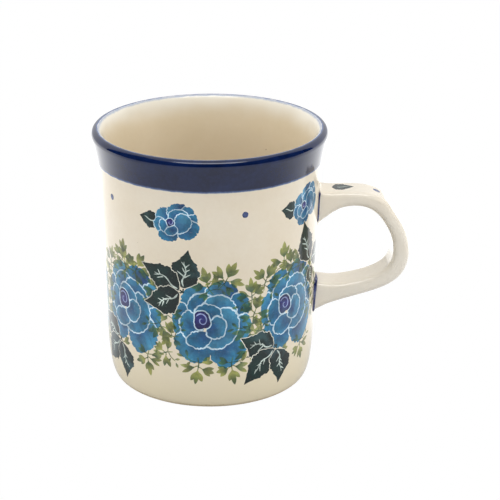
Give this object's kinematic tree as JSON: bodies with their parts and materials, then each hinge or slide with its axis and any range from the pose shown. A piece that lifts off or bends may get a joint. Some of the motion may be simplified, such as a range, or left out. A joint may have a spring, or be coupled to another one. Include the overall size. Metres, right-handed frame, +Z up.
{
  "type": "stoneware mug",
  "caption": "Straight-sided glazed stoneware mug with a flared lip, a cobalt rim band, a blue floral wall and a strap handle joined with clay slip.",
  "frame": {"origin": "centre of the standing ring, on the table plane, on the axis of the cup", "axes": "+Z up along the cup's axis, +X towards the handle, +Y to the left of the handle when it points away from the viewer"},
  "size_m": [0.1096, 0.0808, 0.09],
  "materials": {
    "bare_clay": "matt, fine grained, fired buff stoneware",
    "fired_slip": "glossy, stained dark blue by the cobalt line brushed round the join",
    "clear_glaze": "glossy clear glaze over cream stoneware with blue, dark green and olive underglaze flowers",
    "liner_glaze": "glossy, warm cream, plain",
    "cobalt_glaze": "glossy deep cobalt blue, paler where it breaks over the lip",
    "handle_glaze": "glossy clear glaze over cream stoneware"
  },
  "bodies": {
    "root": {"cup_body": "bare_clay", "handle": "bare_clay", "upper_slip_joint": "fired_slip", "lower_slip_joint": "fired_slip", "outer_glaze": "clear_glaze", "inner_glaze": "liner_glaze", "rim_band": "cobalt_glaze", "handle_glaze": "handle_glaze"}
  },
  "joints": []
}
